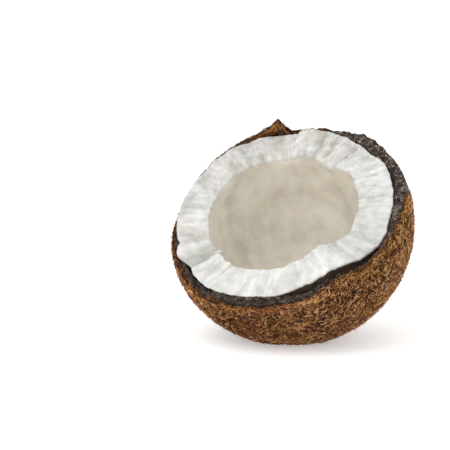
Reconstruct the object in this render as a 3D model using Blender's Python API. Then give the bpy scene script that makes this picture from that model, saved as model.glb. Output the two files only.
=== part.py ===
"""The larger part of a coconut broken across, resting tilted on a small flat spot.

Two grown pieces: the woody shell with the felt of husk fibres on it, and the white flesh that lines it.
Both are modelled about the nut's own axis, with the closed end down and the widest circle at height 0.
An empty then leans the nut so that the middle of its flat resting spot is the world origin.
"""

import bisect
import math

import bmesh
import bpy
from mathutils import Vector

MM = 0.001

# Driving dimensions
NUT_DIAMETER = 108 * MM  # widest circle, over the felt
POLE_DEPTH = 52 * MM  # from the widest circle down to the closed end
BREAK_HEIGHT = 8.5 * MM  # mean height of the break above the widest circle
SHELL_WALL = 4.4 * MM  # hard shell and felt together
FLESH_WALL = 16 * MM  # at the widest circle
FLESH_WALL_AT_POLE = 13 * MM
SEAT_GAP = 0.3 * MM  # clearance between the shell and the flesh
REST_TILT = math.radians(37)  # how far the opening leans forward from level
REST_SPOT_RADIUS = 16 * MM  # the flat that the nut lies on
RIDGE_SHARE = 0.006  # how far the three ridges stand out of a round section
FIRST_RIDGE = math.radians(90)  # the flattened sides lie between the ridges, one of them underneath
SHELL_SLANT = 1.0 * MM  # how far the break drops from the shell's inner edge to its outer one

# How far each broken edge stands over the break's mean height: (degrees about the axis, millimetres)
SHELL_BREAK = (
    (0, 1.3),
    (14, 0.3),
    (30, -3.0),
    (50, -2.8),
    (65, -0.7),
    (78, -2.6),
    (104, -2.9),
    (111, 4.6),  # a standing tooth
    (124, 1.0),
    (140, 0.0),
    (152, -1.6),
    (166, -5.0),
    (215, -5.0),
    (238, -7.6),  # the deepest notch
    (252, -4.6),
    (270, -2.8),
    (295, -1.9),
    (316, 2.2),
    (330, 0.7),
)
FLESH_BREAK = (
    (0, -0.3),
    (15, 0.7),
    (30, 2.6),
    (44, 0.6),
    (57, -3.0),
    (69, -3.4),
    (80, -0.3),
    (92, 1.2),
    (102, -1.2),
    (126, 2.3),
    (137, 3.0),
    (165, 1.2),
    (205, -0.3),
    (223, -4.6),
    (235, -5.6),
    (270, -2.4),
    (301, 0.2),
    (313, 2.5),
    (347, -1.6),
)

# Mesh steps
STEPS = 72  # round the axis
ROWS = 13  # from the pole to the break
MERGE = 0.01 * MM
SAME_FACE = 0.001  # how near to an ellipsoid, as a share of its size, a point on it has to be

NUT_RADIUS = NUT_DIAMETER / 2
FLESH_RADIUS = NUT_RADIUS - SHELL_WALL - SEAT_GAP
FLESH_DEPTH = POLE_DEPTH - SHELL_WALL - SEAT_GAP
CAVITY_RADIUS = FLESH_RADIUS - FLESH_WALL
CAVITY_DEPTH = FLESH_DEPTH - FLESH_WALL_AT_POLE


def clear_scene():
    for obj in list(bpy.data.objects):
        bpy.data.objects.remove(obj, do_unlink=True)


def principled(name, colour, roughness):
    material = bpy.data.materials.new(name)
    material.use_nodes = True
    shader = material.node_tree.nodes["Principled BSDF"]
    shader.inputs["Base Color"].default_value = (*colour, 1)
    shader.inputs["Roughness"].default_value = roughness
    shader.inputs["Metallic"].default_value = 0
    return material


def stands_over(angle, points):
    """How far a break stands over its mean height at this angle: a smooth closed curve through its points."""
    degrees = math.degrees(angle) % 360
    after = bisect.bisect_right([place for place, _ in points], degrees)
    (low, low_height), (high, high_height) = points[after - 1], points[after % len(points)]
    share = (degrees - low) % 360 / ((high - low) % 360)
    return (low_height + (high_height - low_height) * share * share * (3 - 2 * share)) * MM


def shell_outer_edge(angle):
    return BREAK_HEIGHT + stands_over(angle, SHELL_BREAK)


def shell_inner_edge(angle):
    return shell_outer_edge(angle) + SHELL_SLANT


def flesh_edge(angle):
    return BREAK_HEIGHT + stands_over(angle, FLESH_BREAK)


def ridged(angle):
    """The radius's share at this angle: a nut is a little three-sided."""
    return 1 + RIDGE_SHARE * math.cos(3 * (angle - FIRST_RIDGE))


def quarter_ellipse(radius, depth):
    """Points from the pole up to the widest circle."""
    turns = [math.pi / 2 * row / ROWS for row in range(ROWS + 1)]
    return [(radius * math.sin(turn), 0, -depth * math.cos(turn)) for turn in turns]


def lies_on(point, radius, depth):
    """Whether a point is on this half ellipsoid, and so not on the bowl's other face."""
    return abs(math.hypot(point.x / radius, point.y / radius, point.z / depth) - 1) < SAME_FACE


def stretch_to_break(vert, radius, depth, edge_height):
    """Slides a point along its ellipsoid so that the top row meets the broken edge, and adds the ridges."""
    angle = math.atan2(vert.co.y, vert.co.x)
    share = 1 + vert.co.z / depth  # 0 at the pole, 1 at the break
    height = -depth + (depth + edge_height(angle)) * share
    reach = radius * math.sqrt(max(0, 1 - (height / depth) ** 2)) * ridged(angle)
    vert.co = (reach * math.cos(angle), reach * math.sin(angle), height)


def bowl(outer, inner):
    """A closed bowl: its section spun about the axis, then each face stretched up to its broken edge."""
    bm = bmesh.new()
    section = quarter_ellipse(*outer[:2]) + quarter_ellipse(*inner[:2])[::-1]
    points = [bm.verts.new(point) for point in section]
    edges = [bm.edges.new(pair) for pair in zip(points, points[1:])]
    bmesh.ops.spin(
        bm, geom=points + edges, axis=(0, 0, 1), cent=(0, 0, 0), angle=math.tau, steps=STEPS, use_merge=True
    )
    bmesh.ops.remove_doubles(bm, verts=bm.verts, dist=MERGE)
    for vert in bm.verts:
        stretch_to_break(vert, *(outer if lies_on(vert.co, *outer[:2]) else inner))
    bmesh.ops.recalc_face_normals(bm, faces=bm.faces)
    return bm


def lean():
    """(half height under the belly's middle, its share left above the flat, forward offset) of the leaning nut."""
    sine, cosine = math.sin(REST_TILT), math.cos(REST_TILT)
    height = math.hypot(NUT_RADIUS * sine, POLE_DEPTH * cosine)
    share = math.sqrt(1 - (REST_SPOT_RADIUS / NUT_RADIUS) ** 2)
    offset = (POLE_DEPTH**2 - NUT_RADIUS**2) * sine * cosine / height * share
    return height, share, offset


def cut_rest_spot(bm):
    """Trims the shell by the plane it lies on and closes the cut with one flat face."""
    height, share, _ = lean()
    down = Vector((0, -math.sin(REST_TILT), -math.cos(REST_TILT)))
    bmesh.ops.bisect_plane(
        bm,
        geom=bm.verts[:] + bm.edges[:] + bm.faces[:],
        plane_co=down * height * share,
        plane_no=down,
        clear_outer=True,
    )
    bmesh.ops.holes_fill(bm, edges=[edge for edge in bm.edges if edge.is_boundary], sides=0)
    bmesh.ops.recalc_face_normals(bm, faces=bm.faces)


def add_node(name, bm, parent, material):
    mesh = bpy.data.meshes.new(name)
    bm.to_mesh(mesh)
    bm.free()
    mesh.shade_smooth()
    mesh.set_sharp_from_angle(angle=math.radians(40))
    mesh.materials.append(material)
    obj = bpy.data.objects.new(name, mesh)
    bpy.context.scene.collection.objects.link(obj)
    obj.parent = parent
    return obj


def leaning_axis():
    """The nut's own frame: at the middle of its widest circle, leaning forward over the resting spot."""
    height, share, offset = lean()
    axis = bpy.data.objects.new("nut_axis", None)
    bpy.context.scene.collection.objects.link(axis)
    axis.location = (0, -offset, height * share)
    axis.rotation_euler = (REST_TILT, 0, 0)
    return axis


def main():
    clear_scene()
    axis = leaning_axis()

    shell = bowl(
        (NUT_RADIUS, POLE_DEPTH, shell_outer_edge),
        (NUT_RADIUS - SHELL_WALL, POLE_DEPTH - SHELL_WALL, shell_inner_edge),
    )
    cut_rest_spot(shell)
    add_node("shell", shell, axis, principled("husk_brown", (0.27, 0.14, 0.06), 0.9))

    flesh = bowl((FLESH_RADIUS, FLESH_DEPTH, flesh_edge), (CAVITY_RADIUS, CAVITY_DEPTH, flesh_edge))
    add_node("flesh", flesh, axis, principled("flesh_white", (0.85, 0.84, 0.79), 0.45))


main()
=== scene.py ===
"""Looks of a broken coconut half: torn white flesh, the shell's dark broken edge and the felt of husk fibres.

Every piece is modelled about the nut's own axis, closed end down and widest circle at height 0, and then
leaned into the part's frame. Angles go round that axis, from +X towards the top of the leaning rim.

The broken rims are described by short tables of places round the axis. Each place is a hump, given as
(centre in degrees, half width in degrees, size), or a tear, given as (centre, width of its slope, size)
and sometimes the width of its drop.
"""

import math
from collections import namedtuple

import bmesh
import bpy
import numpy as np
from mathutils import Matrix, Vector, noise


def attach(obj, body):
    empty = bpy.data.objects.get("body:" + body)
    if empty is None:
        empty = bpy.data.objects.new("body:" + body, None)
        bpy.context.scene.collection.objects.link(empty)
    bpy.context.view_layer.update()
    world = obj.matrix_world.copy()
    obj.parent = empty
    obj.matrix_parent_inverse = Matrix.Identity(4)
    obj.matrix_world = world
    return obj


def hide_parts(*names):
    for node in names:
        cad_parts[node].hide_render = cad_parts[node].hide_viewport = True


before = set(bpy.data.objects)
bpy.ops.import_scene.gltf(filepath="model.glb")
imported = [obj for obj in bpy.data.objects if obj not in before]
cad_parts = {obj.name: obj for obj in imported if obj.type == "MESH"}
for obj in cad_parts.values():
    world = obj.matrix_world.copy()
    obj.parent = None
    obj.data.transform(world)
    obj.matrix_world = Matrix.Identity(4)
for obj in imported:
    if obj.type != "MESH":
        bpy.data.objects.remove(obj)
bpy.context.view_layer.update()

MM = 0.001
TURN = math.tau

# The nut, as in the CAD model
NUT_RADIUS = 54 * MM  # widest circle, over the felt
POLE_DEPTH = 52 * MM
BREAK_HEIGHT = 8.5 * MM
REST_TILT = math.radians(37)
REST_SPOT_RADIUS = 16 * MM
RIDGE_SHARE = 0.006
FIRST_RIDGE = math.radians(90)

# What it is made of, outside to inside
FELT_THICKNESS = 1.4 * MM
FELT_BED = 0.8 * MM  # how far under the nut's outside the felt's own matted face lies
SHELL_THICKNESS = 3.0 * MM
SEAT_GAP = 0.3 * MM
FLESH_WALL = 16 * MM
FLESH_WALL_AT_POLE = 13 * MM

# Each face's radius at the widest circle and its depth under it
FELT_FACE = (NUT_RADIUS - FELT_BED, POLE_DEPTH - FELT_BED)
SHELL_FACE = (NUT_RADIUS - FELT_THICKNESS, POLE_DEPTH - FELT_THICKNESS)
SHELL_LINING = (SHELL_FACE[0] - SHELL_THICKNESS, SHELL_FACE[1] - SHELL_THICKNESS)
FLESH_FACE = (SHELL_LINING[0] - SEAT_GAP, SHELL_LINING[1] - SEAT_GAP)
HOLLOW = (FLESH_FACE[0] - FLESH_WALL, FLESH_FACE[1] - FLESH_WALL_AT_POLE)

MERGE = 0.01 * MM
WELD = 0.001 * MM  # joins the points of a strand that lie on each other, and no others
SECTORS = 32  # a bowl is spun in one sector, which is then doubled round the axis
RIM_TO_POLE = 60 * MM  # roughly, along a wall
NOISE_REACH = 40 * MM  # the reach at which noise round the axis has its spacing


# ---------------------------------------------------------------- the nut's shape


def nut_frame():
    """The nut's axes in the part's frame: leaning forward, with the flat spot's middle at the origin."""
    sine, cosine = math.sin(REST_TILT), math.cos(REST_TILT)
    height = math.hypot(NUT_RADIUS * sine, POLE_DEPTH * cosine)
    share = math.sqrt(1 - (REST_SPOT_RADIUS / NUT_RADIUS) ** 2)
    offset = (POLE_DEPTH**2 - NUT_RADIUS**2) * sine * cosine / height * share
    return Matrix.Translation((0, -offset, height * share)) @ Matrix.Rotation(REST_TILT, 4, "X")


NUT = nut_frame()


def smooth(low, high, values):
    """0 below low, 1 above high and an S-curve between them."""
    share = np.clip((values - low) / (high - low), 0, 1)
    return share * share * (3 - 2 * share)


def away_from(angles, centre):
    """Degrees from centre to each angle, the short way round."""
    return (np.degrees(angles) - centre + 180) % 360 - 180


def hump(angles, centre, half_width, size=1.0):
    return size * np.exp(-((away_from(angles, centre) / half_width) ** 2))


def humps(angles, places):
    return sum(hump(angles, *place) for place in places)


def tear(angles, centre, width, size, rise=1.6):
    """A ledge: it climbs slowly towards centre from below and drops just past it."""
    away = -away_from(angles, centre)
    return size * smooth(-rise * 0.75, rise * 0.25, away) * np.exp(-np.maximum(away, 0) / width)


def tears(angles, places):
    return sum(tear(angles, *place) for place in places)


def plateau(angles, centre, flat, reach):
    """1 within flat degrees of centre, 0 beyond reach degrees and smooth between."""
    return smooth(reach, flat, np.abs(away_from(angles, centre)))


def ridged(angles):
    """The radius's share at each angle: a nut is a little three-sided."""
    return 1 + RIDGE_SHARE * np.cos(3 * (angles - FIRST_RIDGE))


def round_points(angles, reach, height):
    return np.stack([reach * np.cos(angles), reach * np.sin(angles), height], 1)


def grain(points, size, seed=0.0):
    """Smooth noise at each point, with features about size across."""
    return np.array([noise.noise(point) for point in (points / size + seed).tolist()])


def round_noise(angles, spacing, seed, reach=0.0):
    """Smooth noise round the axis, with features about spacing apart; reach moves through it slowly."""
    return grain(round_points(angles, NOISE_REACH / spacing, seed + reach + 0 * angles), 1)


def stands_over(angles, points):
    """How far a break stands over its mean height: a smooth closed curve through its points."""
    degrees = np.degrees(angles) % 360
    places = np.array([place for place, _ in points] + [360 + points[0][0]])
    heights = np.array([height for _, height in points] + [points[0][1]])
    after = np.searchsorted(places, degrees, side="right")
    share = smooth(places[after - 1], places[after], degrees)
    return (heights[after - 1] + (heights[after] - heights[after - 1]) * share) * MM


# How far each broken edge stands over the break's mean height: (degrees about the axis, millimetres)
SHELL_BREAK = (
    (0, 1.3),
    (14, 0.3),
    (30, -1.4),
    (48, -1.2),
    (62, 0.5),
    (78, -2.0),
    (104, -2.9),
    (110, 4.4),  # a standing tooth
    (124, 1.0),
    (140, 0.0),
    (152, -1.2),
    (169, -4.4),
    (182, -5.0),
    (215, -5.0),
    (238, -7.6),  # the deepest notch
    (252, -4.6),
    (270, -2.8),
    (295, -1.9),
    (316, 2.2),
    (330, 0.7),
)
FLESH_BREAK = (
    (0, -0.3),
    (15, 0.7),
    (30, 2.6),
    (44, 0.2),
    (56, -2.0),
    (68, -0.8),
    (80, 1.2),
    (94, 2.6),
    (102, -0.9),
    (126, 2.3),
    (138, 3.9),
    (165, 1.7),
    (205, -0.3),
    (223, -4.6),
    (235, -5.6),
    (270, -2.4),
    (301, 0.2),
    (313, 2.5),
    (347, -1.6),
)
# Ledges in the torn face, in millimetres
FLESH_TEARS = (
    (99.5, 7, 1.9),
    (84, 6, 0.6),
    (74, 6, 1.3),
    (64, 7, 1.8),
    (54, 6, 1.3),
    (43, 7, 1.0),
    (31, 5, 0.5),
    (219, 9, -1.2),
    (240, 6, 0.4),
    (255, 5, 0.4),
    (268, 8, 0.5),
    (303, 7, 0.5),
    (322, 9, 0.3),
    (172, 8, 0.5),
    (150, 7, 0.4),
    (121, 9, 0.5),
)


def flesh_edge(angles):
    return (
        BREAK_HEIGHT
        + stands_over(angles, FLESH_BREAK)
        + MM * (0.3 * round_noise(angles, 7 * MM, 3.1) + 0.15 * round_noise(angles, 3 * MM, 8.4))
    )


TOOTH_TIP = 109.4  # degrees
TOOTH_HEIGHT = 5.0  # mm, over the outline that it stands on
TOOTH_LEFT, TOOTH_RIGHT = 5, 2.6  # degrees that each of its slopes takes


def outline(angles):
    """The husk's broken outline, with its pointed tooth: steep on the right, gentle on the left."""
    jagged = 0.5 * round_noise(angles, 5 * MM, 21.7) + 0.35 * round_noise(angles, 1.6 * MM, 27.2)
    away = away_from(angles, TOOTH_TIP)
    point = np.clip(1 - np.where(away > 0, away / TOOTH_LEFT, -away / TOOTH_RIGHT), 0, 1)
    return BREAK_HEIGHT + stands_over(angles, SHELL_BREAK) + MM * (jagged + TOOTH_HEIGHT * point)


def tooth(angles):
    """1 at the standing tooth and 0 away from it."""
    return hump(angles, 111, 8)


def bare(angles):
    """Where the felt is torn off the shell, on the upper right: 1 there and 0 elsewhere."""
    return plateau(angles, 51, 24, 38)


# How far each edge is torn down from the outline, and how far the shell's break climbs inwards, in mm
FELT_TORN_BACK = 7.5  # where the shell is bare
FELT_UNDER_OUTLINE = ((262, 30, 1.6),)
SHELL_UNDER_OUTLINE = ((112, 9, 7.5), (322, 20, 2.2), (215, 6, 1.2))
SHELL_SLANT = ((180, 34, 3.4), (52, 26, -1.0), (347, 17, -3.2))


def felt_edge(angles):
    """The felt's top edge: torn well back from the shell's on the upper right, and a little at the bottom."""
    uneven = 0.6 * round_noise(angles, 9 * MM, 43.3) + 0.35 * round_noise(angles, 2.2 * MM, 48.8)
    under = 0.3 + bare(angles) * FELT_TORN_BACK + humps(angles, FELT_UNDER_OUTLINE)
    return outline(angles) - MM * (under - uneven * (1 - tooth(angles)))


def shell_edge(angles):
    """The hard shell's outer edge: under the felt's at the tooth and low on the right."""
    jagged = 0.4 * round_noise(angles, 3 * MM, 31.9) + 0.35 * round_noise(angles, 1.2 * MM, 37.4)
    return outline(angles) + MM * (jagged - 0.2 - humps(angles, SHELL_UNDER_OUTLINE))


def shell_slant(angles):
    """How far the shell's break climbs from its outer edge to its inner one; it drops on the right."""
    return MM * (0.5 + humps(angles, SHELL_SLANT))


def thinned(angles, below_edge):
    """How much of the outside is torn away near the rim on the left, where the wall is at its thinnest."""
    return 2.0 * MM * hump(angles, 180, 42) * smooth(16 * MM, 1 * MM, below_edge)


# ---------------------------------------------------------------- mesh tools

OUTSIDE, FACE, INSIDE = 0, 1, 2


def arc(face, share, edge):
    """(reach, height) this share of the way from the pole up to the edge, along a quarter ellipse."""
    radius, depth = face
    angle = -math.pi / 2 + share * (math.pi / 2 + np.arcsin(np.clip(edge / depth, -1, 1)))
    return radius * np.cos(angle), depth * np.sin(angle)


class Bowl:
    """A torn bowl: rows up its outside, across its broken face and down its inside, spun round the axis."""

    def __init__(self, name, outer, inner, rows, steps, crowding=1.6):
        self.outer, self.inner = outer, inner
        climb = [1 - (1 - np.linspace(0, 1, count)) ** crowding for count in (rows[0], rows[2])]
        parts = np.repeat([OUTSIDE, FACE, INSIDE], rows)
        shares = np.concatenate([climb[0], (np.arange(rows[1]) + 0.5) / rows[1], climb[1][::-1]])
        self.mesh = self.spin(name, self.section(parts, shares, BREAK_HEIGHT, BREAK_HEIGHT), steps)
        count = len(self.mesh.vertices)
        row = np.empty(count, np.float32)
        self.mesh.attributes["row"].data.foreach_get("value", row)
        self.mesh.attributes.remove(self.mesh.attributes["row"])
        flat = np.empty(count * 3, np.float32)
        self.mesh.vertices.foreach_get("co", flat)
        points = flat.reshape(-1, 3).astype(float)
        row = np.rint(row).astype(int)
        self.part, self.share = parts[row], shares[row]
        self.angle = np.arctan2(points[:, 1], points[:, 0])
        self.below = np.where(self.part == FACE, 0, (1 - self.share) * RIM_TO_POLE)  # roughly, under the rim

    def section(self, parts, shares, outer_edge, inner_edge, outer_shift=0.0, inner_shift=0.0):
        """(reach, height) of each place for these edges; the shifts move the two rims in or out."""
        reach_out, height_out = arc(self.outer, np.where(parts == OUTSIDE, shares, 1), outer_edge)
        reach_in, height_in = arc(self.inner, np.where(parts == INSIDE, shares, 1), inner_edge)
        reach_out = reach_out + outer_shift
        reach_in = reach_in + inner_shift
        across = np.where(parts == OUTSIDE, 0, np.where(parts == INSIDE, 1, shares))
        return reach_out + (reach_in - reach_out) * across, height_out + (height_in - height_out) * across

    def spin(self, name, section, steps):
        """The section spun round the axis as one closed mesh, on which each point keeps its row."""
        bm = bmesh.new()
        row = bm.verts.layers.float.new("row")
        points = [bm.verts.new((max(reach, 0), 0, height)) for reach, height in zip(*section)]
        for number, point in enumerate(points):
            point[row] = number
        edges = [bm.edges.new(pair) for pair in zip(points, points[1:])]
        turn = TURN / SECTORS
        bmesh.ops.spin(
            bm, geom=points + edges, axis=(0, 0, 1), cent=(0, 0, 0), angle=turn, steps=steps // SECTORS
        )
        while turn < TURN * 0.99:
            copied = bmesh.ops.duplicate(bm, geom=bm.verts[:] + bm.edges[:] + bm.faces[:])["geom"]
            verts = [item for item in copied if isinstance(item, bmesh.types.BMVert)]
            bmesh.ops.rotate(bm, verts=verts, cent=(0, 0, 0), matrix=Matrix.Rotation(turn, 3, "Z"))
            turn *= 2
        bmesh.ops.remove_doubles(bm, verts=bm.verts, dist=MERGE)
        bmesh.ops.recalc_face_normals(bm, faces=bm.faces)
        mesh = bpy.data.meshes.new(name)
        bm.to_mesh(mesh)
        bm.free()
        return mesh

    def mark(self, name, values):
        """Keeps a number or a vector for each point, which a finish reads."""
        kind, field = ("FLOAT_VECTOR", "vector") if values.ndim == 2 else ("FLOAT", "value")
        layer = self.mesh.attributes.new(name, kind, "POINT")
        layer.data.foreach_set(field, values.astype(np.float32).ravel())

    def finished(self, reach, height, material, floor=0.0):
        """The bowl at these places, leaned into the part's frame and kept over this floor."""
        reach = np.maximum(reach, 0) * ridged(self.angle)
        points = leaned(round_points(self.angle, reach, height))
        points[:, 2] = np.maximum(points[:, 2], floor)
        self.mesh.vertices.foreach_set("co", points.astype(np.float32).ravel())
        self.mesh.update()
        self.mesh.shade_smooth()
        return piece(self.mesh.name, self.mesh, material)


def leaned(points):
    matrix = np.array(NUT)
    return points @ matrix[:3, :3].T + matrix[:3, 3]


def piece(name, mesh, material):
    mesh.materials.append(material)
    obj = bpy.data.objects.new(name, mesh)
    bpy.context.scene.collection.objects.link(obj)
    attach(obj, "root")
    return obj


# ---------------------------------------------------------------- finishes


class Value:
    """A node's output that Python's operators work on: each adds a Math node to the tree."""

    def __init__(self, tree, socket):
        self.tree, self.socket = tree, socket

    def math(self, operation, *inputs):
        node = self.tree.nodes.new("ShaderNodeMath")
        node.operation = operation
        for place, value in enumerate(inputs):
            if isinstance(value, Value):
                self.tree.links.new(value.socket, node.inputs[place])
            else:
                node.inputs[place].default_value = value
        return Value(self.tree, node.outputs[0])

    def __add__(self, other):
        return self.math("ADD", self, other)

    __radd__ = __add__

    def __sub__(self, other):
        return self.math("SUBTRACT", self, other)

    def __rsub__(self, other):
        return self.math("SUBTRACT", other, self)

    def __mul__(self, other):
        return self.math("MULTIPLY", self, other)

    __rmul__ = __mul__


class Finish:
    """A material under construction: a Principled shader with fixed numbers, and nodes that feed it."""

    def __init__(self, name, **fixed):
        self.material = bpy.data.materials.new(name)
        self.material.use_nodes = True
        self.tree = self.material.node_tree
        self.shader = self.tree.nodes["Principled BSDF"]
        for socket, value in fixed.items():
            self.shader.inputs[socket.replace("_", " ")].default_value = value

    def node(self, kind, settings=None, inputs=None, output=0):
        """Any node: its settings, then the values or links of its sockets; gives the output asked for."""
        made = self.tree.nodes.new("ShaderNode" + kind)
        for name, value in (settings or {}).items():
            if name == "stops":
                self.set_stops(made.color_ramp, value)
            else:
                setattr(made, name, value)
        for name, value in (inputs or {}).items():
            if isinstance(value, Value):
                self.tree.links.new(value.socket, made.inputs[name])
            else:
                made.inputs[name].default_value = value
        return Value(self.tree, made.outputs[output])

    def set_stops(self, ramp, stops):
        while len(ramp.elements) < len(stops):
            ramp.elements.new(0.5)
        for element, (place, colour) in zip(ramp.elements, stops):
            element.position = place
            element.color = (*colour, 1)

    def ramp(self, factor, *stops):
        return self.node("ValToRGB", {"stops": stops}, {"Fac": factor})

    def between(self, value, low, high):
        """0 at low, 1 at high and smooth between."""
        return self.node(
            "MapRange",
            {"interpolation_type": "SMOOTHSTEP"},
            {"Value": value, "From Min": low, "From Max": high},
        )

    def mix(self, factor, first, second, blend="MIX"):
        """Two colours mixed: the Mix node's colours are its sockets 6 and 7, and its output 2."""
        settings = {"data_type": "RGBA", "blend_type": blend}
        return self.node("Mix", settings, {0: factor, 6: first, 7: second}, 2)

    def noise(self, place, scale, detail=2.0, roughness=0.5, distortion=0.0):
        inputs = {"Vector": place, "Scale": scale, "Detail": detail}
        return self.node("TexNoise", {}, {**inputs, "Roughness": roughness, "Distortion": distortion})

    def attribute(self, name, output="Fac"):
        return self.node("Attribute", {"attribute_name": name}, {}, output)

    def place(self, output="Object"):
        return self.node("TexCoord", {}, {}, output)

    def bump(self, height, distance, strength=1.0):
        return self.node("Bump", {}, {"Height": height, "Distance": distance, "Strength": strength})

    def feed(self, **sockets):
        for socket, value in sockets.items():
            self.tree.links.new(value.socket, self.shader.inputs[socket.replace("_", " ")])
        return self.material


def flesh_finish():
    """Moist white flesh: torn and streaked on the break, beige and smooth in the hollow, brown outside."""
    finish = Finish(
        "flesh_white", Metallic=0, Subsurface_Weight=0.2, Subsurface_Scale=0.0015, Specular_IOR_Level=0.3
    )
    place = finish.place()
    polar = finish.attribute("polar", "Vector")
    cloud = finish.noise(place, 55, 3, 0.55)
    patch = finish.noise(place, 130, 3, 0.6)
    mottle = finish.noise(place, 330, 3, 0.6)
    streak = finish.noise(polar, 13, 3, 0.6)
    fine = finish.noise(polar, 60, 2, 0.6)
    torn = finish.ramp(
        streak * 0.45 + cloud * 0.25 + mottle * 0.3,
        (0.36, (0.5, 0.505, 0.485)),
        (0.49, (0.69, 0.69, 0.665)),
        (0.61, (0.84, 0.83, 0.8)),
    )
    grey = finish.ramp(
        streak * 0.3 + patch * 0.3 + mottle * 0.4,
        (0.38, (0.47, 0.46, 0.43)),
        (0.5, (0.62, 0.605, 0.57)),
        (0.62, (0.78, 0.765, 0.73)),
    )
    torn = finish.mix(finish.between(finish.attribute("dull") + 0.6 * (cloud - 0.5), 0.2, 1.0), torn, grey)
    # Painted shade: the torn face is darkened where its relief is low, and over a patch at its top
    shade = finish.ramp(
        finish.attribute("valley"),
        (0.2, (1.05, 1.05, 1.05)),
        (0.5, (0.98, 0.98, 0.98)),
        (0.9, (0.7, 0.69, 0.66)),
    )
    torn = finish.mix(1.0, torn, shade, "MULTIPLY")
    lining = finish.ramp(
        cloud * 0.6 + patch * 0.4,
        (0.36, (0.58, 0.54, 0.46)),
        (0.5, (0.73, 0.68, 0.59)),
        (0.64, (0.82, 0.78, 0.69)),
    )
    # Painted shade: the hollow's lining is darker deep down
    lining_in_painted_shade = finish.mix(1.0, lining, (0.9, 0.9, 0.89, 1), "MULTIPLY")
    lining = finish.mix(finish.attribute("deep"), lining, lining_in_painted_shade)
    hollow = finish.attribute("hollow") + 0.35 * (patch - 0.5)
    white = finish.mix(finish.between(hollow, 0.1, 0.85), torn, lining)
    brown = finish.ramp(patch, (0.3, (0.022, 0.013, 0.009)), (0.7, (0.07, 0.04, 0.025)))
    height = (streak * 0.7 + fine * 0.3) * (1 - finish.attribute("hollow"))
    return finish.feed(
        Base_Color=finish.mix(finish.between(finish.attribute("skin"), 0.35, 0.75), white, brown),
        Roughness=0.42 + 0.2 * fine,
        Normal=finish.bump(height, 0.4 * MM, 0.6),
    )


def shell_finish():
    """Hard dark shell: granular and nearly black where it broke, with paler worn grains."""
    finish = Finish("shell_dark", Metallic=0, Specular_IOR_Level=0.2)
    place = finish.place()
    grains = finish.noise(place, 1100, 3, 0.65)
    chips = finish.noise(place, 420, 4, 0.7)
    both = chips * 0.5 + grains * 0.5
    dark = finish.ramp(
        both,
        (0.38, (0.012, 0.008, 0.006)),
        (0.5, (0.036, 0.026, 0.02)),
        (0.58, (0.1, 0.075, 0.06)),
        (0.68, (0.22, 0.175, 0.14)),
    )
    speckled = finish.ramp(
        both,
        (0.38, (0.013, 0.009, 0.007)),
        (0.48, (0.045, 0.032, 0.024)),
        (0.55, (0.15, 0.115, 0.095)),
        (0.64, (0.44, 0.38, 0.34)),
    )
    colour = finish.mix(finish.attribute("worn"), dark, speckled)
    return finish.feed(
        Base_Color=colour,
        Roughness=0.65 + 0.3 * grains,
        Normal=finish.bump(chips * 0.6 + grains * 0.4, 0.5 * MM, 0.8),
    )


def felt_finish():
    """The matted bed of fine husk fibres under the loose ones."""
    finish = Finish("felt_brown", Metallic=0, Specular_IOR_Level=0.15)
    place = finish.place()
    warp = finish.noise(place, 500, 3, 0.6)
    threads = finish.noise(place, 1500, 3, 0.7, 1.5)
    clumps = finish.noise(place, 120, 3, 0.6)
    colour = finish.ramp(
        threads * 0.6 + warp * 0.25 + clumps * 0.15,
        (0.32, (0.025, 0.011, 0.005)),
        (0.5, (0.1, 0.047, 0.018)),
        (0.66, (0.22, 0.115, 0.048)),
    )
    return finish.feed(
        Base_Color=colour,
        Roughness=0.8 + 0.15 * warp,
        Normal=finish.bump(threads * 0.6 + warp * 0.4, 0.6 * MM, 1.0),
    )


def fibre_finish():
    """Husk fibres. Their map holds a strand's tint, painted shade included, across, and the way along it up.

    It does so twice: its lower half is for the red strands and its upper half for the golden ones.
    """
    finish = Finish("husk_fibre", Metallic=0, Specular_IOR_Level=0.25, Roughness=0.62)
    map_place = finish.place("UV")
    across = finish.node("SeparateXYZ", {}, {0: map_place}, "X")
    up = finish.node("SeparateXYZ", {}, {0: map_place}, "Y")
    golden = finish.between(up, 0.48, 0.52)
    along = (up - 0.5 * golden) * 2
    red = finish.ramp(
        across,
        (0.0, (0.014, 0.005, 0.002)),
        (0.25, (0.078, 0.024, 0.006)),
        (0.5, (0.27, 0.088, 0.026)),
        (0.75, (0.61, 0.25, 0.09)),
        (1.0, (1.0, 0.61, 0.31)),
    )
    gold = finish.ramp(
        across,
        (0.0, (0.014, 0.006, 0.002)),
        (0.25, (0.078, 0.029, 0.005)),
        (0.5, (0.27, 0.1, 0.022)),
        (0.75, (0.58, 0.26, 0.068)),
        (1.0, (0.93, 0.57, 0.22)),
    )
    tint = finish.mix(golden, red, gold)
    shade = finish.ramp(along, (0.0, (0.7, 0.68, 0.66)), (0.5, (1, 1, 1)), (1.0, (0.8, 0.77, 0.74)))
    return finish.feed(Base_Color=finish.mix(1.0, tint, shade, "MULTIPLY"))


# ---------------------------------------------------------------- flesh


# Where the torn face is wilder or calmer, and what lifts and splits its lower left corner, in millimetres
FACE_WILDNESS = ((60, 32, 1.6), (228, 30, 0.6), (140, 40, 0.4), (322, 40, -0.25))
CORNER_LIP = (226, 3.5, 0.9)
CORNER_LUMP = (213, 5, 1.0)
CORNER_CRACK = (221, 1.8, 1.3)

# Where the hollow's rim steps in or out, in millimetres: a corner on the lower left, bites along the bottom
HOLLOW_RIM_HUMPS = (
    (186, 30, 2.6),
    (213, 8, 1.4),
    (308, 24, -1.9),
    (350, 13, -1.2),
    (50, 10, 1.0),
    (72, 13, -2.2),
    (150, 16, 1.0),
)
HOLLOW_RIM_TEARS = ((222, 6, -2.4, 1.0), (301, 4, 0.9), (313, 4, 0.9))

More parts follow.
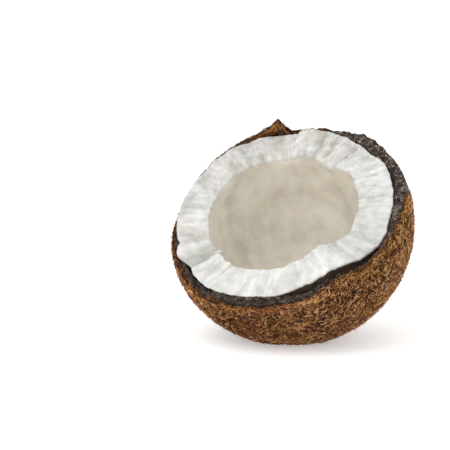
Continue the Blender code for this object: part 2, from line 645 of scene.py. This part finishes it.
# How far the flesh's outer rim stands out of its round, in millimetres: chipped, or out over the thin wall
OUTER_RIM_HUMPS = (
    (185, 28, 0.7),
    (213, 3.5, 1.9),
    (222, 4, -1.2),
    (54, 9, -1.0),
    (207, 1.5, -0.8),
    (306, 18, -2.2),
    (3, 22, -1.0),
)

# Where the torn face is dull or bright, and where shade is painted on it, from 0 to about 1
DULL_FACE = ((70, 9, 0.6), (88, 14, 1.3), (52, 9, 0.4), (96.5, 4.5, -0.9))
TOP_PAINTED_SHADE = (86, 9, 0.28)


def torn_angles(angles, reach):
    """Angles that wander a little with the reach, so that tears don't run straight; the main ledge leans."""
    spots = round_points(angles, 1, reach / NOISE_REACH)
    swing = angles + 0.08 * grain(spots, 0.25, 4.4) + 0.025 * grain(spots, 0.07, 8.1)
    return swing - 0.11 * (1 - smooth(HOLLOW[0], FLESH_FACE[0], reach)) * hump(angles, 103, 13)


def face_relief(angles, reach):
    """The torn face's height over its mean, in mm: ridges out from the hollow, wilder on the upper right."""
    spots = round_points(angles, 1, reach / NOISE_REACH)
    across_face = smooth(HOLLOW[0], FLESH_FACE[0], reach)
    swing = torn_angles(angles, reach)
    wild = 0.5 + humps(angles, FACE_WILDNESS)
    along = reach / MM
    broad = round_noise(swing, 4.2 * MM, 1.7, along * 0.06)
    middling = round_noise(swing, 1.5 * MM, 5.2, along * 0.1)
    thin = round_noise(swing, 0.75 * MM, 9.9, along * 0.16)
    across = grain(spots, 0.11, 2.2)
    crack = hump(swing, *CORNER_CRACK) * smooth(HOLLOW[0] - MM, HOLLOW[0] + 5 * MM, reach)
    corner = hump(swing, *CORNER_LIP) + hump(swing, *CORNER_LUMP) * across_face - crack
    torn = 0.7 * broad + 0.3 * middling + 0.07 * thin + 0.42 * across
    return tears(swing, FLESH_TEARS) + corner + wild * torn


def make_flesh():
    """The white flesh. Its torn face rolls over into the hollow: tightly where it tore, widely at the top."""
    bowl = Bowl("flesh_torn", FLESH_FACE, HOLLOW, (24, 34, 40), 832)
    angles, part, share, below = bowl.angle, bowl.part, bowl.share, bowl.below
    edge = flesh_edge(angles)
    nick = 0.5 * round_noise(angles, 3.2 * MM, 61.3) + 0.28 * round_noise(angles, 1.2 * MM, 66.6)
    calm = plateau(angles, 118, 35, 75)
    at_rim = smooth(7 * MM, 0, below)
    bites = 1.1 * np.abs(nick) + 0.9 * np.abs(round_noise(angles, 7 * MM, 14.9))
    bites = bites * (1 - 0.6 * hump(angles, 180, 45))
    outer_shift = MM * (humps(angles, OUTER_RIM_HUMPS) - bites) * at_rim
    steps = humps(angles, HOLLOW_RIM_HUMPS) + tears(angles, HOLLOW_RIM_TEARS)
    rim_shift = MM * (1.1 * nick * (1 - 0.8 * calm) + steps)
    inner_shift = rim_shift * smooth(16 * MM, 0, below)
    reach, height = bowl.section(part, share, edge, edge, outer_shift, inner_shift)
    lip = MM * (1.0 + 3.8 * calm)
    from_rim = np.clip((reach - arc(HOLLOW, 1, edge)[0] - rim_shift) / lip, 0, 1)
    under_rim = np.clip((edge - height) / lip, 0, 1)
    turn = np.where(part == INSIDE, 0.75 + 0.25 * under_rim, 0.75 - 0.25 * from_rim) * math.pi
    rolled_out, rolled_down = 1 + np.cos(turn), 1 - np.sin(turn)
    places = [part == INSIDE, part == FACE]
    reach = reach + lip * np.select(places, [rolled_out, rolled_out - from_rim], 0)
    height = height - lip * np.select(places, [rolled_down - under_rim, rolled_down], 0)
    relief = face_relief(angles, reach) * smooth(5 * MM, 0, below)
    relief = relief * (1 - 0.5 * smooth(FLESH_FACE[0] - 3 * MM, FLESH_FACE[0] - MM, reach))
    height = height + MM * relief
    spots = round_points(angles, reach, height)
    lining = np.where(part == INSIDE, 0.45 * grain(spots, 11 * MM) + 0.14 * grain(spots, 4 * MM), 0)
    reach = reach + MM * lining * smooth(0, 5 * MM, below)
    bowl.mark("polar", round_points(angles, 1, reach * 4))
    bowl.mark("hollow", np.where(part == INSIDE, smooth(-1 * MM, (5 - 1.5 * calm) * MM, below), 0))
    # Painted shade, from 0 near the rim to 1 deep in the hollow
    bowl.mark("deep", np.where(part == INSIDE, smooth(8 * MM, 45 * MM, below), 0))
    swing = torn_angles(angles, reach)
    # Painted shade on the torn face: darker where its relief lies under the mean, and over a patch at its top
    face_painted_shade = hump(swing, *TOP_PAINTED_SHADE) - 0.5 * (relief - relief[part == FACE].mean())
    bowl.mark("valley", np.clip(0.5 + face_painted_shade, 0, 1))
    bowl.mark("dull", plateau(swing, 130, 26, 50) + humps(swing, DULL_FACE))
    bowl.mark("skin", np.where(part == OUTSIDE, smooth(0.1 * MM, 0.9 * MM, below), 0))
    obj = bowl.finished(reach, height, flesh_finish(), 2 * MM)
    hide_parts("flesh")


# ---------------------------------------------------------------- shell


def chips(points, size):
    """Broken grains: each cell of a scatter stands at its own height."""
    heights = []
    for point in (points / size).tolist():
        distances, centres = noise.voronoi(point)
        heights.append(noise.cell(centres[0] * 7.3) * min(1, (distances[1] - distances[0]) / 0.3))
    return np.array(heights)


# How deep the groove along the shell's break is, and how far the shell follows the flesh in, in millimetres
SHELL_GROOVE = ((316, 16, 1.3), (262, 30, 0.4))
SHELL_INSET = ((3, 22, 1.0), (54, 9, 0.9))
BARE_BULGE = 1.5 * MM  # the shell stands out where no felt covers it


def make_shell():
    """The hard shell: granular where it broke, and bulging a little where it is bare."""
    bowl = Bowl("shell_broken", SHELL_FACE, SHELL_LINING, (18, 18, 14), 1024, 2.2)
    angles, part, share, below = bowl.angle, bowl.part, bowl.share, bowl.below
    edge = shell_edge(angles)
    outer_shift = BARE_BULGE * bare(angles) * smooth(9 * MM, 5 * MM, below) - thinned(angles, below)
    inner_shift = -MM * humps(angles, SHELL_INSET) * smooth(7 * MM, 0, below)
    reach, height = bowl.section(part, share, edge, edge + shell_slant(angles), outer_shift, inner_shift)
    spots = round_points(angles, reach, height)
    broken = 0.75 * chips(spots, 1.3 * MM) + 0.5 * grain(spots, 2.4 * MM) + 0.35 * grain(spots, 1.0 * MM)
    at_rim = smooth(4 * MM, 0, below)
    middle = np.where(part == FACE, np.sin(math.pi * share), 0)
    height = height + MM * (broken * at_rim - humps(angles, SHELL_GROOVE) * middle)
    rough = 0.45 * chips(spots, 1.8 * MM) * smooth(8 * MM, 2 * MM, below)
    rough = np.where(part == INSIDE, rough, 0) + 0.3 * at_rim * grain(spots, 1.6 * MM, 9.1)
    reach = reach + MM * rough
    bowl.mark("worn", np.maximum(plateau(angles, 40, 45, 80), 0.15))
    obj = bowl.finished(reach, height, shell_finish(), 0.5 * MM)
    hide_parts("shell")


# ---------------------------------------------------------------- felt


def make_felt():
    """The felt's matted bed, which closes the husk under the loose fibres."""
    lining = (SHELL_FACE[0] + 0.05 * MM, SHELL_FACE[1] + 0.05 * MM)
    bowl = Bowl("husk_felt", FELT_FACE, lining, (96, 3, 12), 448, 1.15)
    angles, part, share, below = bowl.angle, bowl.part, bowl.share, bowl.below
    edge = felt_edge(angles) + 0.5 * MM * round_noise(angles, 0.9 * MM, 71.1)
    shift = -thinned(angles, below)
    reach, height = bowl.section(part, share, edge, edge - 0.3 * MM, shift, shift)
    spots = round_points(angles, reach, height)
    lump = 0.3 * grain(spots, 7 * MM) + 0.3 * grain(spots, 2.4 * MM) + 0.2 * grain(spots, 1.1 * MM)
    lump = np.where(part == OUTSIDE, lump * MM, 0)
    slope = np.stack([reach / NUT_RADIUS**2, height / POLE_DEPTH**2], 1)
    slope /= np.linalg.norm(slope, axis=1, keepdims=True)
    obj = bowl.finished(reach + slope[:, 0] * lump, height + slope[:, 1] * lump, felt_finish())


# ---------------------------------------------------------------- fibres


def triangle_profile():
    """A three-cornered section, which keeps a strand to a few dozen faces."""
    curve = bpy.data.curves.new("strand_section", "CURVE")
    spline = curve.splines.new("POLY")
    spline.points.add(2)
    for corner, point in enumerate(spline.points):
        point.co = (math.cos(TURN * corner / 3), math.sin(TURN * corner / 3), 0, 1)
    spline.use_cyclic_u = True
    obj = bpy.data.objects.new("strand_section", curve)
    bpy.context.scene.collection.objects.link(obj)
    return obj


def turned(vectors, axes, angles):
    """Each vector turned about its own unit axis."""
    cosine, sine = np.cos(angles)[:, None], np.sin(angles)[:, None]
    along = (vectors * axes).sum(1, keepdims=True) * axes
    return vectors * cosine + np.cross(axes, vectors) * sine + along * (1 - cosine)


def unit(vectors):
    return vectors / np.linalg.norm(vectors, axis=1, keepdims=True)


def on_nut(directions, lift):
    """Points over the nut's outside from unit directions, lifted along its normal."""
    angles = np.arctan2(directions[:, 1], directions[:, 0])
    size = np.array([NUT_RADIUS, NUT_RADIUS, POLE_DEPTH])
    points = directions * size
    points[:, :2] *= ridged(angles)[:, None]
    torn = thinned(angles, np.maximum(BREAK_HEIGHT - 4 * MM - points[:, 2], 0))
    return points + unit(directions / size) * (lift - torn)[:, None]


Layer = namedtuple("Layer", "name count length points curl lift stray thickness tint spread")

# Fibres from the felt's bed outwards: lengths, lifts and thicknesses in mm, curl and stray in radians; the
# lower layers' dark tints are painted shade deep in the pile
FIBRE_LAYERS = (
    Layer("fibres_under_1", 7500, (3, 7), 5, 0.6, (-0.85, -0.25), 1.3, (0.34, 0.46), 0.04, 0.12),
    Layer("fibres_under_2", 7500, (3, 7), 5, 0.6, (-0.75, -0.15), 1.3, (0.34, 0.46), 0.14, 0.15),
    Layer("fibres_mid_1", 8800, (1.6, 4.5), 4, 0.8, (-0.55, 0.15), 1.4, (0.28, 0.42), 0.45, 0.26),
    Layer("fibres_mid_2", 8800, (1.6, 4.5), 4, 0.8, (-0.45, 0.35), 1.4, (0.28, 0.42), 0.53, 0.27),
    Layer("fibres_top_1", 9800, (1.6, 4), 4, 0.85, (-0.25, 0.55), 1.4, (0.26, 0.38), 0.65, 0.27),
    Layer("fibres_top_2", 4500, (2, 5), 5, 0.85, (0.05, 0.85), 1.4, (0.24, 0.34), 0.79, 0.18),
)
ROOTED = 0.75 * MM  # how deep in the felt a fibre starts
STRAY_HAIRS = 1400
RIM_FRAYS = 2400
FRAYS_FAR_OVER = ((150, 40, 0.8), (0, 30, 0.6), (234, 24, 1.5))  # where frays bend further over the edge


def scattered(rng, count, heights, under_edge):
    """Unit directions to random places on the nut, each a random few mm or more under the felt's edge."""
    height = rng.uniform(*heights, count)
    angle = rng.uniform(0, TURN, count)
    top = felt_edge(angle) - MM * rng.uniform(*under_edge, count)
    height = np.minimum(height, top / POLE_DEPTH)
    return round_points(angle, np.sqrt(1 - height**2), height)


def strand_paths(rng, layer):
    """Paths that wander over the felt: they start in it, rise to a lift and go back in, or end free."""
    count = layer.count
    place = scattered(rng, count, (-1.0, 0.24), (0, 3))
    up = np.cross(place, np.cross(np.array([0.0, 0.0, 1.0]), place))
    off_meridian = rng.normal(0, layer.stray, count) + np.pi * rng.integers(0, 2, count)
    heading = turned(unit(up + 1e-9), place, off_meridian)
    size = MM * rng.uniform(*layer.length, count)
    bend = rng.normal(0, layer.curl, count)
    top = MM * rng.uniform(*layer.lift, count)
    share = rng.uniform(0.6, 1.0, count)
    edge_over = MM * rng.uniform(-0.6, 0.5, count)
    rows = []
    for step in range(layer.points):
        along = step / (layer.points - 1)
        raised = -ROOTED + (top + ROOTED) * np.sin(np.pi * along * share) ** 0.7
        spot = on_nut(place, raised)
        limit = felt_edge(np.arctan2(spot[:, 1], spot[:, 0])) + edge_over
        spot[:, 2] = np.minimum(spot[:, 2], limit)
        rows.append(spot)
        stride = size / (layer.points - 1) / NUT_RADIUS
        place = unit(place + heading * stride[:, None])
        heading = unit(heading - place * (heading * place).sum(1, keepdims=True))
        bend = bend * 0.5 + rng.normal(0, layer.curl, count)
        heading = turned(heading, place, bend)
    return np.stack(rows, 1)


def stray_paths(rng, count, length, points):
    """Loose hairs that leave the felt and stand off it."""
    place = scattered(rng, count, (-0.97, 0.2), (3, 7))
    spot = on_nut(place, np.full(count, -0.4 * MM))
    side = turned(unit(np.cross(place, rng.normal(0, 1, (count, 3)))), place, rng.uniform(0, TURN, count))
    heading = unit(side + place * rng.uniform(0.05, 0.6, count)[:, None])
    stride = rng.uniform(*length, count)[:, None] / (points - 1)
    rows = [spot]
    for _ in range(points - 1):
        spot = spot + heading * stride
        rows.append(spot)
        heading = unit(heading + rng.normal(0, 0.3, (count, 3)) - place * 0.1)
    return np.stack(rows, 1)


def fray_paths(rng, count, points):
    """Fibres torn off at the break: they climb out of the felt's top edge and bend over it."""
    anywhere = rng.uniform(0, TURN, count)
    at_tooth = np.radians(rng.normal(113, 6, count))
    angle = np.where(rng.uniform(0, 1, count) < 0.12, at_tooth, anywhere)
    edge = felt_edge(angle)
    reach = NUT_RADIUS * np.sqrt(1 - (edge / POLE_DEPTH) ** 2) - rng.uniform(0.2, 1.2, count) * MM
    reach = reach - thinned(angle, 0 * angle)
    over = rng.uniform(0.1, 0.8, count) ** 2 * (0.7 + humps(angle, FRAYS_FAR_OVER))
    # Most of those at the tooth lie on its inner face, and start further down
    inner = (np.abs(away_from(angle, 113)) < 9) & (rng.uniform(0, 1, count) < 0.7)
    start = np.where(inner, rng.uniform(3, 6.5, count), 2.2)
    reach = np.where(inner, reach - rng.uniform(1.2, 1.6, count) * MM, reach)
    over = np.where(inner, 0.1, over * (1 - 0.9 * hump(angle, 108, 16)))
    sway_inner = rng.normal(0, 0.05, count)
    sway_outer = rng.normal(0, 0.04, count) * (1 - 0.8 * tooth(angle))
    sway = np.where(inner, sway_inner, sway_outer)
    tuck = rng.uniform(-0.4, 0.9, count)
    rows = []
    for step in range(points):
        along = step / (points - 1)
        height = edge + MM * (-start * (1 - along) + (0.2 + 2.0 * over) * along - 0.8 * over * along**3)
        turn = angle + sway * along + rng.normal(0, 0.005, count)
        out = reach - MM * tuck * over * along**2 * 1.6
        rows.append(round_points(turn, out, height))
    paths = np.stack(rows, 1)
    top = felt_edge(np.arctan2(paths[..., 1], paths[..., 0]).ravel()).reshape(paths.shape[:2])
    paths[..., 2] = np.minimum(paths[..., 2], top + MM * (0.15 + over[:, None] * 1.6))
    return paths


def tapered_strands(name, paths, widths, section):
    """One mesh of three-cornered strands along paths, with their two ends capped."""
    points = paths.shape[1]
    curve = bpy.data.curves.new(name, "CURVE")
    curve.dimensions = "3D"
    curve.bevel_mode = "OBJECT"
    curve.use_fill_caps = True
    curve.bevel_object = section
    taper = 1 - 0.65 * np.linspace(0, 1, points) ** 2
    row = np.ones((points, 4))
    for path, width in zip(paths, widths):
        spline = curve.splines.new("POLY")
        spline.points.add(points - 1)
        row[:, :3] = path
        spline.points.foreach_set("co", row.ravel())
        spline.points.foreach_set("radius", width / 2 * taper)
    holder = bpy.data.objects.new(name + "_curve", curve)
    bpy.context.scene.collection.objects.link(holder)
    bpy.context.view_layer.update()
    mesh = bpy.data.meshes.new_from_object(holder.evaluated_get(bpy.context.evaluated_depsgraph_get()))
    mesh.name = name
    bpy.data.objects.remove(holder)
    mesh.materials.clear()
    mesh.shade_smooth()
    return mesh


def strand_places(mesh, count, points):
    """(strand, ring along it, side of the ring) of each face corner.

    The curve's mesh lists both caps of each strand first, from the last strand back, then the tubes in order.
    """
    corner = np.empty(len(mesh.loops), np.int32)
    mesh.loops.foreach_get("vertex_index", corner)
    on_tube = corner - 6 * count
    cap_ring = np.where(corner % 6 < 3, points - 1, 0)
    strand = np.where(on_tube < 0, count - 1 - corner // 6, on_tube // (3 * points))
    ring = np.where(on_tube < 0, cap_ring, on_tube % (3 * points) // 3)
    return strand, ring, corner % 3


def close_strands(mesh):
    """Joins the caps to the tubes, and turns every face outwards."""
    bm = bmesh.new()
    bm.from_mesh(mesh)
    bmesh.ops.remove_doubles(bm, verts=bm.verts, dist=WELD)
    bmesh.ops.recalc_face_normals(bm, faces=bm.faces)
    bm.to_mesh(mesh)
    bm.free()


def strands(name, paths, thickness, tints, section, material, rng):
    """Strands along paths, as one piece with the map that the fibres' finish reads; thickness is in mm."""
    count, points, _ = paths.shape
    placed = leaned(paths.reshape(-1, 3)).reshape(paths.shape)
    placed[..., 2] = np.maximum(placed[..., 2], MM * (thickness[1] + 0.05))
    mesh = tapered_strands(name, placed, MM * rng.uniform(*thickness, count), section)
    strand, ring, side = strand_places(mesh, count, points)
    across = np.clip(tints[strand], 0.01, 0.985) + 0.004 * (side - 1)
    golden = grain(paths[:, 0], 9 * MM, 5.5) + rng.normal(0, 0.25, count) > 0
    upward = 0.02 + 0.44 * ring / (points - 1) + 0.5 * golden[strand]
    for layer in list(mesh.uv_layers):
        mesh.uv_layers.remove(layer)
    layer = mesh.uv_layers.new(name="OFBake")
    layer.data.foreach_set("uv", np.stack([across, upward], 1).astype(np.float32).ravel())
    close_strands(mesh)
    piece(name, mesh, material)


def patch_tints(rng, paths, base, spread):
    """Tints wandering over the nut in patches, with painted shade low down and a painted shadow on the left;
    one strand in ten is odd.
    """
    patches = 0.14 * grain(paths[:, 0], 14 * MM) + 0.3 * grain(paths[:, 2], 1.9 * MM)
    placed = leaned(paths[:, 0])
    # Painted shade low on the husk, and a painted shadow over its left side
    painted_underside_shade = 0.09 * smooth(22 * MM, 2 * MM, placed[:, 2])
    painted_left_shadow = 0.14 * smooth(28 * MM, -30 * MM, placed[:, 0])
    odd = np.where(rng.uniform(0, 1, len(paths)) < 0.1, rng.uniform(-0.3, 0.45, len(paths)), 0)
    return base + patches - painted_underside_shade - painted_left_shadow + rng.normal(0, spread, len(paths)) + odd


def make_fibres():
    """The husk's loose fibres: six layers over the felt, stray hairs, and frays along the broken edge."""
    section = triangle_profile()
    material = fibre_finish()
    for seed, layer in enumerate(FIBRE_LAYERS):
        rng = np.random.default_rng(100 + seed)
        paths = strand_paths(rng, layer)
        tints = patch_tints(rng, paths, layer.tint, layer.spread)
        strands(layer.name, paths, layer.thickness, tints, section, material, rng)
    rng = np.random.default_rng(200)
    paths = stray_paths(rng, STRAY_HAIRS, (2 * MM, 5 * MM), 6)
    tints = rng.uniform(0.35, 0.95, STRAY_HAIRS)
    strands("stray_hairs", paths, (0.16, 0.26), tints, section, material, rng)
    paths = fray_paths(rng, RIM_FRAYS, 6)
    tints = rng.uniform(0.2, 0.85, RIM_FRAYS)
    strands("rim_frays", paths, (0.2, 0.38), tints, section, material, rng)
    bpy.data.objects.remove(section)


# ---------------------------------------------------------------- stage


CAMERA_AZIMUTH, CAMERA_ELEVATION = math.radians(22.1), math.radians(10)
CAMERA_DISTANCE = 1.2
FIELD_WIDTH = 0.198  # what the camera takes in at the nut
CAMERA_LEFT, CAMERA_UP = 0.028, 0.0496  # off the line through the origin


def camera():
    """A long lens, low down and a little from the right."""
    back = Vector((math.sin(CAMERA_AZIMUTH), -math.cos(CAMERA_AZIMUTH), 0)) * math.cos(CAMERA_ELEVATION)
    back.z = math.sin(CAMERA_ELEVATION)
    turn = back.to_track_quat("Z", "Y")
    right, up = turn @ Vector((1, 0, 0)), turn @ Vector((0, 1, 0))
    data = bpy.data.cameras.new("camera")
    data.sensor_width = 36
    data.lens = data.sensor_width * CAMERA_DISTANCE / FIELD_WIDTH
    data.clip_start, data.clip_end = 0.01, 100
    obj = bpy.data.objects.new("camera", data)
    bpy.context.scene.collection.objects.link(obj)
    obj.location = back * CAMERA_DISTANCE - right * CAMERA_LEFT + up * CAMERA_UP
    obj.rotation_mode = "QUATERNION"
    obj.rotation_quaternion = turn
    bpy.context.scene.camera = obj


def area_light(name, place, aim, size, watts):
    data = bpy.data.lights.new(name, "AREA")
    data.size, data.energy = size, watts
    obj = bpy.data.objects.new(name, data)
    bpy.context.scene.collection.objects.link(obj)
    obj.location = place
    obj.rotation_mode = "QUATERNION"
    obj.rotation_quaternion = (Vector(aim) - Vector(place)).to_track_quat("-Z", "Y")


def stage():
    """A white studio: an even surround, a plain floor and one soft light from the front left."""
    world = bpy.data.worlds.new("studio")
    world.use_nodes = True
    surround = world.node_tree.nodes["Background"]
    surround.inputs["Color"].default_value = (1, 1, 1, 1)
    surround.inputs["Strength"].default_value = 0.92
    bpy.context.scene.world = world
    bm = bmesh.new()
    bmesh.ops.create_grid(bm, x_segments=1, y_segments=1, size=6)
    mesh = bpy.data.meshes.new("floor")
    bm.to_mesh(mesh)
    bm.free()
    floor = bpy.data.objects.new("floor", mesh)
    bpy.context.scene.collection.objects.link(floor)
    finish = Finish(
        "floor_white",
        Metallic=0,
        Roughness=0.9,
        Specular_IOR_Level=0,
        Base_Color=(0.95, 0.95, 0.95, 1),
        Emission_Color=(1, 1, 1, 1),
        Emission_Strength=0.4,
    )
    mesh.materials.append(finish.material)
    nut_middle = (0, 0, 0.045)
    area_light("key", (-0.25, -0.7, 0.9), nut_middle, 0.6, 3)
    bpy.context.scene.view_settings.view_transform = "Standard"


def main():
    camera()
    stage()
    make_flesh()
    make_shell()
    make_felt()
    make_fibres()


main()
